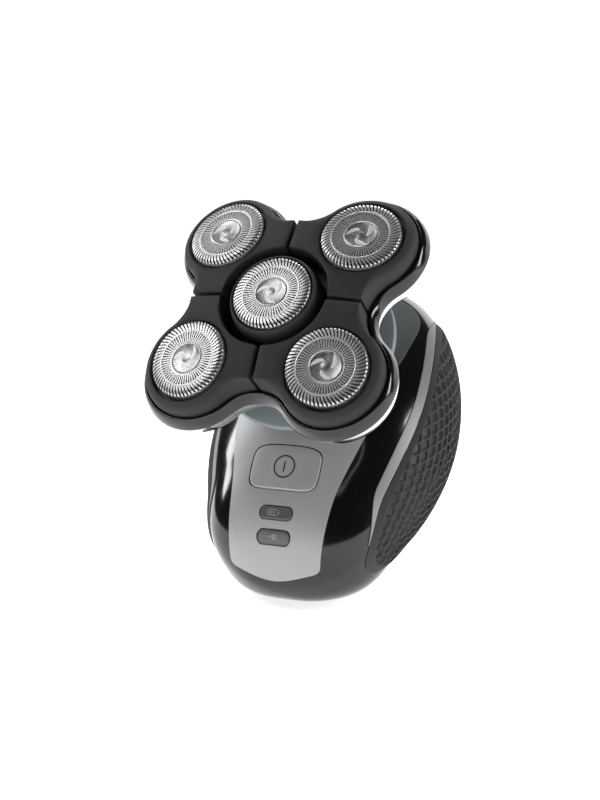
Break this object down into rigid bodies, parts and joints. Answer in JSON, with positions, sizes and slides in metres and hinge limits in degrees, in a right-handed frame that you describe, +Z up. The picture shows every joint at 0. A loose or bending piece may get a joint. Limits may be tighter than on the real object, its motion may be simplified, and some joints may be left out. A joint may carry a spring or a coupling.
{
  "type": "rotary head shaver",
  "caption": "Palm-held rotary head shaver: tilting cutter head on a leaning egg-shaped body with side grips and a front panel.",
  "frame": {"origin": "centre of the foot pad's flat underside", "axes": "+Z up, front with the button towards -Y, +X to the right seen from the front"},
  "size_m": [0.0754, 0.1097, 0.1155],
  "materials": {
    "black_gloss": "polished black moulding",
    "black_satin": "fine satin moulding",
    "petal_black": "fine matt moulding",
    "deck_satin": "dark satin moulding",
    "collar_grey": "light satin moulding",
    "silver_panel": "satin silver lacquer",
    "bright_trim": "bright plated",
    "side_strip": "satin grey lacquer",
    "grip_rubber": "soft grip with a raised leaf pattern",
    "foot_rubber": "smooth rubber",
    "lens_smoke": "smoked lens",
    "guard_steel": "ground and slotted steel",
    "cutter_steel": "ground steel",
    "motor_steel": "rolled steel can",
    "screw_steel": "zinc plated",
    "gear_white": "natural acetal",
    "frame_grey": "moulded carrier",
    "board_green": "solder resist",
    "cell_wrap": "shrink wrap",
    "contact_brass": "plated contacts",
    "led_white": "cast epoxy"
  },
  "bodies": {
    "body": {"front_housing": "black_gloss", "rear_housing": "black_gloss", "front_panel": "silver_panel", "deck_plate": "deck_satin", "neck_collar": "collar_grey", "neck_post": "black_satin", "grip_left": "grip_rubber", "grip_right": "grip_rubber", "strip_left": "side_strip", "strip_right": "side_strip", "foot_pad": "foot_rubber", "button_switch": "frame_grey", "circuit_board": "board_green", "battery_lens": "lens_smoke", "charge_lens": "lens_smoke", "indicator_leds": "led_white", "battery_cell": "cell_wrap", "battery_tabs": "contact_brass", "chassis": "frame_grey", "motor": "motor_steel", "gear_bracket": "frame_grey", "charging_socket": "black_satin", "socket_pins": "contact_brass", "housing_screws": "screw_steel", "neck_seal": "foot_rubber"},
    "button": {"power_button": "silver_panel"},
    "pinion": {"motor_pinion": "gear_white"},
    "drive": {"drive_gear": "gear_white"},
    "head": {"trim_ring": "bright_trim", "head_casing": "black_gloss", "head_base": "black_satin", "gear_plate": "frame_grey", "hinge_pins": "screw_steel", "head_screws": "screw_steel"},
    "sun": {"sun_gear": "gear_white"},
    "planet_1": {"planet_gear_1": "gear_white"},
    "petal_1": {"petal_1": "petal_black", "petal_frame_1": "frame_grey", "guard_1": "guard_steel"},
    "cutter_1": {"cutter_1": "cutter_steel"},
    "planet_2": {"planet_gear_2": "gear_white"},
    "petal_2": {"petal_2": "petal_black", "petal_frame_2": "frame_grey", "guard_2": "guard_steel"},
    "cutter_2": {"cutter_2": "cutter_steel"},
    "planet_3": {"planet_gear_3": "gear_white"},
    "petal_3": {"petal_3": "petal_black", "petal_frame_3": "frame_grey", "guard_3": "guard_steel"},
    "cutter_3": {"cutter_3": "cutter_steel"},
    "planet_4": {"planet_gear_4": "gear_white"},
    "petal_4": {"petal_4": "petal_black", "petal_frame_4": "frame_grey", "guard_4": "guard_steel"},
    "cutter_4": {"cutter_4": "cutter_steel"},
    "centre": {"centre_cone": "petal_black", "guard_5": "guard_steel"},
    "cutter_5": {"cutter_5": "cutter_steel"}
  },
  "joints": [
    {"name": "power_button_press", "type": "slide", "parent": "body", "child": "button", "axis": [0, 0.8563, -0.5165], "range_m": [0, 0.0007], "stiffness_N_per_m": 1500, "springref_m": -0.0004},
    {"name": "drive_gear_spin", "type": "hinge", "parent": "body", "child": "drive", "pos_m": [0, 0.00869, 0.06278], "axis": [0, -0.8059, 0.592], "continuous": true},
    {"name": "motor_spin", "type": "hinge", "parent": "body", "child": "pinion", "pos_m": [0, 0.01401, 0.07004], "axis": [0, -0.8059, 0.592], "continuous": true},
    {"name": "head_release", "type": "slide", "parent": "body", "child": "head", "axis": [0, -0.8059, 0.592], "range_m": [0, 0.022]},
    {"name": "sun_gear_spin", "type": "hinge", "parent": "head", "child": "sun", "pos_m": [0, -0.01791, 0.08232], "axis": [0, -0.8059, 0.592], "continuous": true},
    {"name": "planet_gear_1_spin", "type": "hinge", "parent": "head", "child": "planet_1", "pos_m": [0.01998, -0.00608, 0.09842], "axis": [0, -0.8059, 0.592], "continuous": true},
    {"name": "petal_1_tilt", "type": "hinge", "parent": "head", "child": "petal_1", "pos_m": [0.01358, -0.01495, 0.09699], "axis": [-0.7071, 0.4186, 0.5699], "range_deg": [-2.5, 2.5], "stiffness_Nm_per_rad": 1.2},
    {"name": "cutter_1_spin", "type": "hinge", "parent": "petal_1", "child": "cutter_1", "pos_m": [0.0207, -0.01589, 0.10652], "axis": [0.1107, -0.7305, 0.6739], "continuous": true},
    {"name": "planet_gear_2_spin", "type": "hinge", "parent": "head", "child": "planet_2", "pos_m": [-0.01998, -0.00608, 0.09842], "axis": [0, -0.8059, 0.592], "continuous": true},
    {"name": "petal_2_tilt", "type": "hinge", "parent": "head", "child": "petal_2", "pos_m": [-0.01358, -0.01495, 0.09699], "axis": [-0.7071, -0.4186, -0.5699], "range_deg": [-2.5, 2.5], "stiffness_Nm_per_rad": 1.2},
    {"name": "cutter_2_spin", "type": "hinge", "parent": "petal_2", "child": "cutter_2", "pos_m": [-0.0207, -0.01589, 0.10652], "axis": [-0.1107, -0.7305, 0.6739], "continuous": true},
    {"name": "planet_gear_3_spin", "type": "hinge", "parent": "head", "child": "planet_3", "pos_m": [-0.01998, -0.02974, 0.06622], "axis": [0, -0.8059, 0.592], "continuous": true},
    {"name": "petal_3_tilt", "type": "hinge", "parent": "head", "child": "petal_3", "pos_m": [-0.01358, -0.03103, 0.07511], "axis": [0.7071, -0.4186, -0.5699], "range_deg": [-2.5, 2.5], "stiffness_Nm_per_rad": 1.2},
    {"name": "cutter_3_spin", "type": "hinge", "parent": "petal_3", "child": "cutter_3", "pos_m": [-0.0207, -0.0404, 0.07315], "axis": [-0.1107, -0.8615, 0.4955], "continuous": true},
    {"name": "planet_gear_4_spin", "type": "hinge", "parent": "head", "child": "planet_4", "pos_m": [0.01998, -0.02974, 0.06622], "axis": [0, -0.8059, 0.592], "continuous": true},
    {"name": "petal_4_tilt", "type": "hinge", "parent": "head", "child": "petal_4", "pos_m": [0.01358, -0.03103, 0.07511], "axis": [0.7071, 0.4186, 0.5699], "range_deg": [-2.5, 2.5], "stiffness_Nm_per_rad": 1.2},
    {"name": "cutter_4_spin", "type": "hinge", "parent": "petal_4", "child": "cutter_4", "pos_m": [0.0207, -0.0404, 0.07315], "axis": [0.1107, -0.8615, 0.4955], "continuous": true},
    {"name": "centre_float", "type": "slide", "parent": "head", "child": "centre", "axis": [0, 0.8059, -0.592], "range_m": [0, 0.0012], "stiffness_N_per_m": 900, "springref_m": -0.0003},
    {"name": "cutter_5_spin", "type": "hinge", "parent": "centre", "child": "cutter_5", "pos_m": [0, -0.02839, 0.09002], "axis": [0, -0.8059, 0.592], "continuous": true}
  ],
  "couplings": [
    {"joint": "motor_spin", "follows": "drive_gear_spin", "ratio": -2},
    {"joint": "sun_gear_spin", "follows": "drive_gear_spin", "ratio": 1},
    {"joint": "planet_gear_1_spin", "follows": "drive_gear_spin", "ratio": -1},
    {"joint": "cutter_1_spin", "follows": "drive_gear_spin", "ratio": -1},
    {"joint": "planet_gear_2_spin", "follows": "drive_gear_spin", "ratio": -1},
    {"joint": "cutter_2_spin", "follows": "drive_gear_spin", "ratio": -1},
    {"joint": "planet_gear_3_spin", "follows": "drive_gear_spin", "ratio": -1},
    {"joint": "cutter_3_spin", "follows": "drive_gear_spin", "ratio": -1},
    {"joint": "planet_gear_4_spin", "follows": "drive_gear_spin", "ratio": -1},
    {"joint": "cutter_4_spin", "follows": "drive_gear_spin", "ratio": -1},
    {"joint": "cutter_5_spin", "follows": "drive_gear_spin", "ratio": 1}
  ]
}
